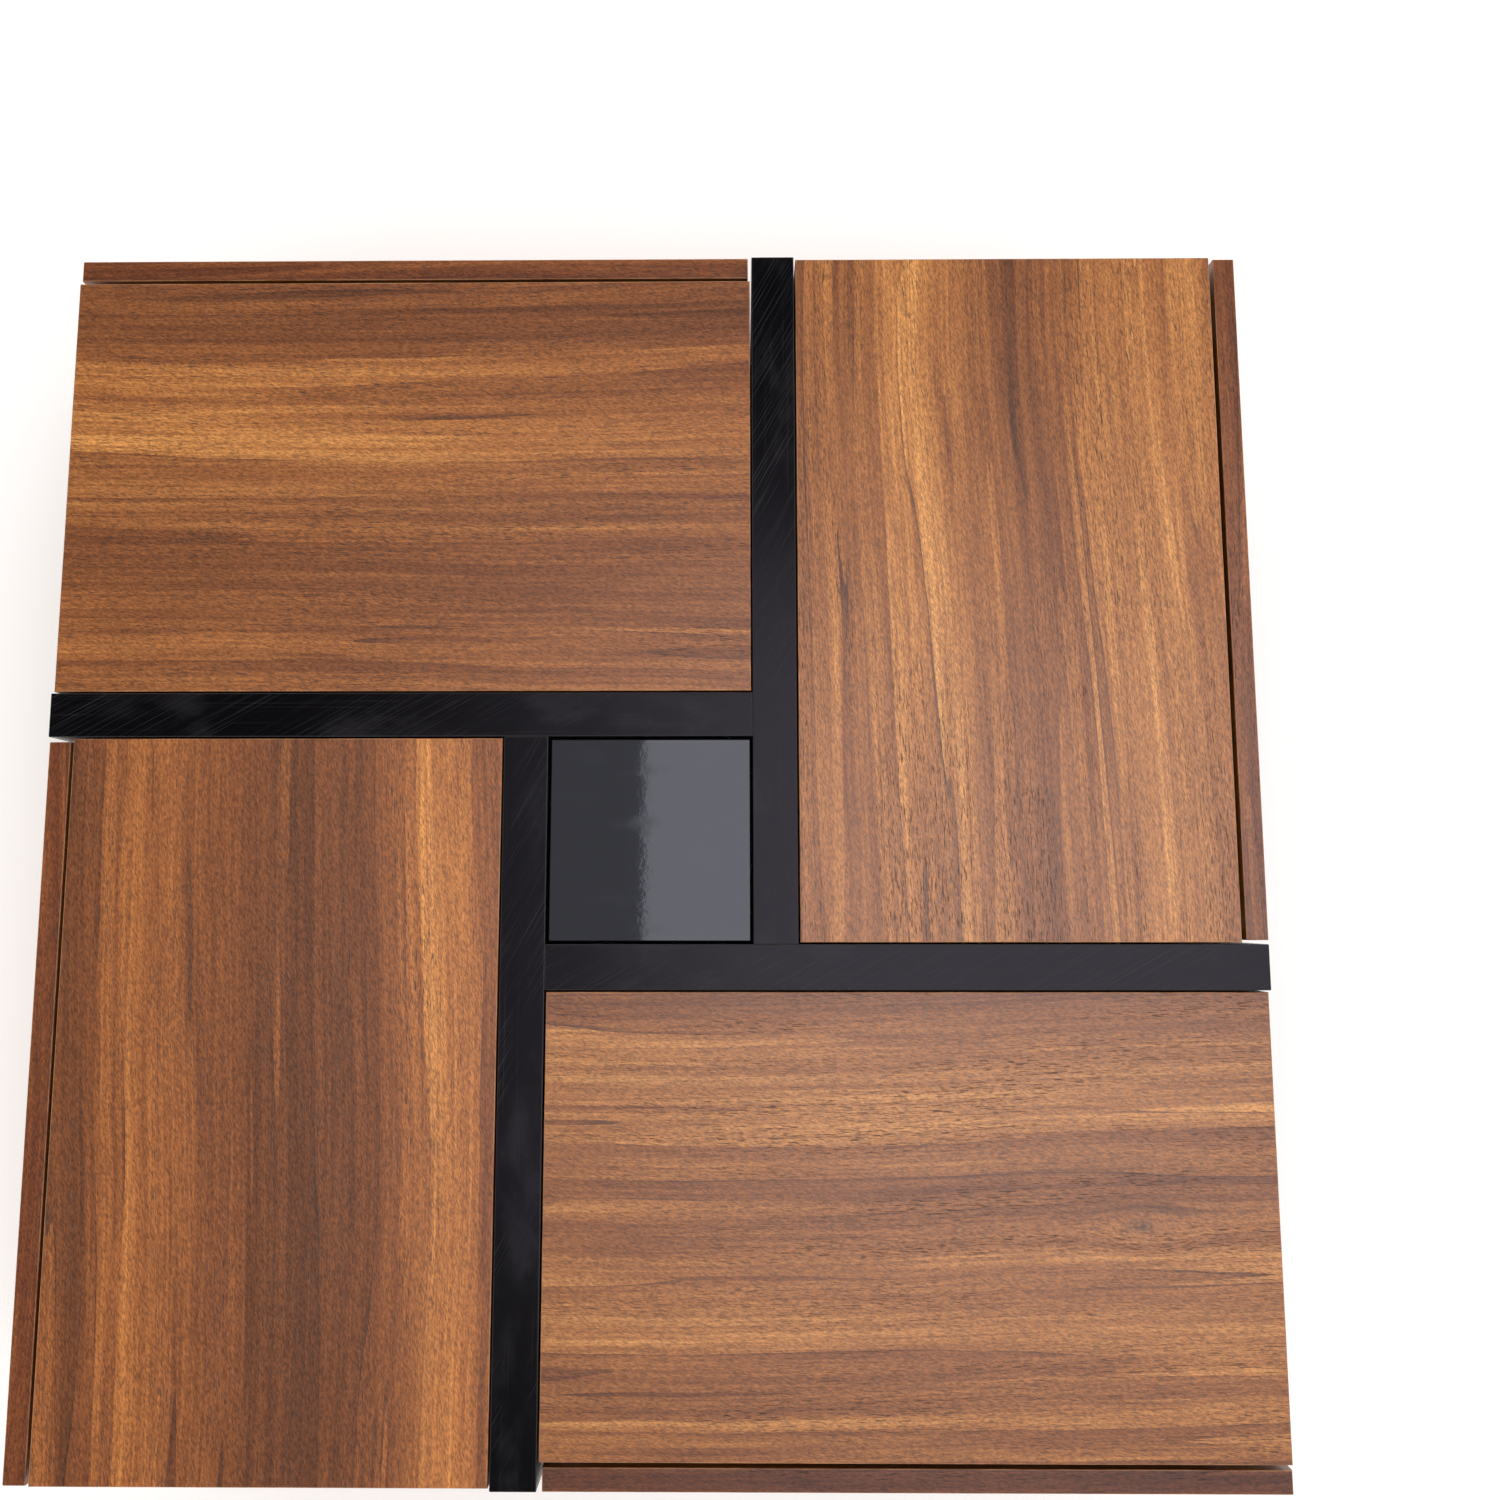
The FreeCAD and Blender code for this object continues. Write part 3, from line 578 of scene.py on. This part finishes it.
def fittings():
    """Screws, cam fittings and bumpers of each module."""
    steel = zinc("fitting_zinc", "Z", (0.70, 0.71, 0.72), 0.30)
    brass = zinc("board_screw_zinc", "Z", (0.72, 0.66, 0.48), 0.33)
    nickel = zinc("cam_nickel", "Z", (0.60, 0.59, 0.56), 0.36)
    bumper = clear_bumper()
    left_low, left_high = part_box("far_drawer_left_side")
    right_low, right_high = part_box("far_drawer_right_side")
    inner_low, inner_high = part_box("far_inner_runners")
    outer_low, outer_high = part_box("far_outer_runners")
    end_low, end_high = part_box("far_end_panel")
    base_low, base_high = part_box("far_bottom_panel")
    runner_z = (inner_low.z + inner_high.z) / 2
    end_x = (end_low.x + end_high.x) / 2
    base_z = (base_low.z + base_high.z) / 2
    front_spots = (
        (end_x, end_high.y, end_low.z + LOW_BUMPER_RISE),
        (end_x, end_high.y, end_high.z - HIGH_BUMPER_DROP),
        (base_high.x - BASE_BUMPER_INSET, base_high.y, base_z),
    )
    for number, side in enumerate(SIDES):
        drawer = f"{side}_drawer"
        inner, outer, rear, cams = [], [], [], []
        for reach in SCREW_REACHES:
            y = inner_low.y + (inner_high.y - inner_low.y) * reach
            for x, out in ((left_low.x, -1), (right_high.x, 1)):
                spot = facing((x + out * RUNNER_WEB, y, runner_z), (out, 0, 0))
                inner.append((stud, spot, PAN_HEAD, PAN_RECESS))
            for x, out in ((outer_low.x, 1), (outer_high.x, -1)):
                spot = facing((x + out * RUNNER_WEB, y, runner_z), (out, 0, 0))
                outer.append((stud, spot, PAN_HEAD, PAN_RECESS))
        for drop in JOINT_DROPS:
            z = left_high.z - drop
            for x, out in ((left_low.x, -1), (right_high.x, 1)):
                spot = facing((x, left_low.y + REAR_SCREW_INSET, z), (out, 0, 0))
                rear.append((stud, spot, BOARD_HEAD, BOARD_RECESS))
            for x, out in ((left_high.x, 1), (right_low.x, -1)):
                spot = facing((x, left_high.y - CAM_INSET, z), (out, 0, 0))
                cams.append((stud, spot, CAM_HEAD, CAM_RECESS))
        dots = [(cap, facing(spot, (0, 1, 0)), BUMPER_DOT) for spot in front_spots]
        fitting(f"{side}_inner_runner_screws", number, drawer, steel, inner)
        fitting(f"{side}_outer_runner_screws", number, "carcass", steel, outer)
        fitting(f"{side}_drawer_board_screws", number, drawer, brass, rear)
        fitting(f"{side}_drawer_cam_fittings", number, drawer, nickel, cams)
        fitting(f"{side}_front_bumpers", number, "carcass", bumper, dots)


# ---- Studio -------------------------------------------------------------------------------------

# How bright the surroundings are at two heights, from level at 0 to overhead at 1.
HORIZON = (0.10, 0.95)
ZENITH = (0.82, 0.13)
# The floor's reach, and the distances from the middle between which its glow grows to its full level.
FLOOR_REACH = 12.0
GLOW_START = 2.2
GLOW_FULL = 6.5
GLOW_LEVEL = 0.93

# The lens in mm on a 36 mm sensor, the turn away from straight down as an axis times its angle in radians,
# and the place in mm from the middle of the table's top.
SENSOR_WIDTH = 36.0
CAMERA_LENS = 40.594
CAMERA_SHIFT = (0.0200, -0.0800)
CAMERA_TURN = (-0.16284, 0.01265, -0.00124)
CAMERA_PLACE = (75.0, -55.5, 1391.9)


def area_light(name, place, target, size, power, colour, glossy=True):
    """Rectangular softbox at a place, aimed at a target; it can be left out of reflections."""
    data = bpy.data.lights.new(name, "AREA")
    data.shape = "RECTANGLE"
    data.size, data.size_y = size
    data.energy = power
    data.color = colour
    light = bpy.data.objects.new(name, data)
    light.location = place
    light.rotation_mode = "QUATERNION"
    light.rotation_quaternion = (Vector(target) - Vector(place)).to_track_quat("-Z", "Y")
    light.visible_camera = False
    light.visible_glossy = glossy
    bpy.context.scene.collection.objects.link(light)


def studio():
    """Surroundings, softboxes and the pale floor."""
    scene = bpy.context.scene
    scene.view_settings.view_transform = "Standard"
    # Bright towards the horizon, dim overhead, so that the softboxes draw the reflections in the top.
    world = bpy.data.worlds.new("studio")
    world.use_nodes = True
    nodes, links = world.node_tree.nodes, world.node_tree.links
    split = nodes.new("ShaderNodeSeparateXYZ")
    ramp = nodes.new("ShaderNodeValToRGB")
    links.new(nodes.new("ShaderNodeTexCoord").outputs["Generated"], split.inputs[0])
    links.new(split.outputs["Z"], ramp.inputs[0])
    links.new(ramp.outputs[0], nodes["Background"].inputs["Color"])
    for element, (place, level) in zip(ramp.color_ramp.elements, (HORIZON, ZENITH)):
        element.position = place
        element.color = (level, level, level * 1.02, 1.0)
    scene.world = world
    area_light("key", place=(0.87, -0.2, 3.4), target=(0.87, -0.2, 0.0), size=(2.10, 2.1),
               power=44.0, colour=(0.91, 0.92, 1.0))
    area_light("scrim", place=(-0.46, -0.05, 3.4), target=(-0.46, -0.05, 0.0), size=(0.55, 1.7),
               power=2.0, colour=(0.92, 0.92, 1.0))
    area_light("fill", place=(0.2, 0.2, 6.0), target=(0.2, 0.2, 0.0), size=(9.0, 9.0),
               power=462.0, colour=(1.0, 0.945, 0.875), glossy=False)

    mesh = bpy.data.meshes.new("floor")
    corners = [(x * FLOOR_REACH, y * FLOOR_REACH, 0) for x, y in ((-1, -1), (1, -1), (1, 1), (-1, 1))]
    mesh.from_pydata(corners, [], [(0, 1, 2, 3)])
    floor = bpy.data.objects.new("floor", mesh)
    net = Net("pale_floor", roughness=0.75)
    cloud = net.noise(net.place(), (0.8, 0.8, 0.8), 3.0)
    net.colour(net.mix(cloud, (0.90, 0.90, 0.90), (0.93, 0.93, 0.93)))
    # Past the lights' reach the floor glows, so it runs into the bright horizon without an edge.
    radius = net.vector("LENGTH", net.place())
    net.put(net.shader.inputs["Emission Strength"], net.fade(radius, GLOW_START, GLOW_FULL, 0.0, GLOW_LEVEL))
    net.shader.inputs["Emission Color"].default_value = (1.0, 1.0, 1.0, 1.0)
    mesh.materials.append(net.material)
    scene.collection.objects.link(floor)


def camera():
    """Almost straight down, from a little to the right of the table's middle and nearer than it."""
    data = bpy.data.cameras.new("camera")
    data.sensor_width = SENSOR_WIDTH
    data.lens = CAMERA_LENS
    data.shift_x, data.shift_y = CAMERA_SHIFT
    made = bpy.data.objects.new("camera", data)
    top = cad_box[1].z
    turn = Quaternion(Vector(CAMERA_TURN).normalized(), Vector(CAMERA_TURN).length).to_matrix()
    right, down, forward = (turn @ Matrix(((1, 0, 0), (0, -1, 0), (0, 0, -1)))).row
    made.matrix_world = Matrix.Translation(Vector(CAMERA_PLACE) * MM + Vector((0, 0, top))) @ Matrix(
        (right, -down, -forward)).transposed().to_4x4()
    bpy.context.scene.collection.objects.link(made)
    bpy.context.scene.camera = made


dress()
fittings()
studio()
camera()
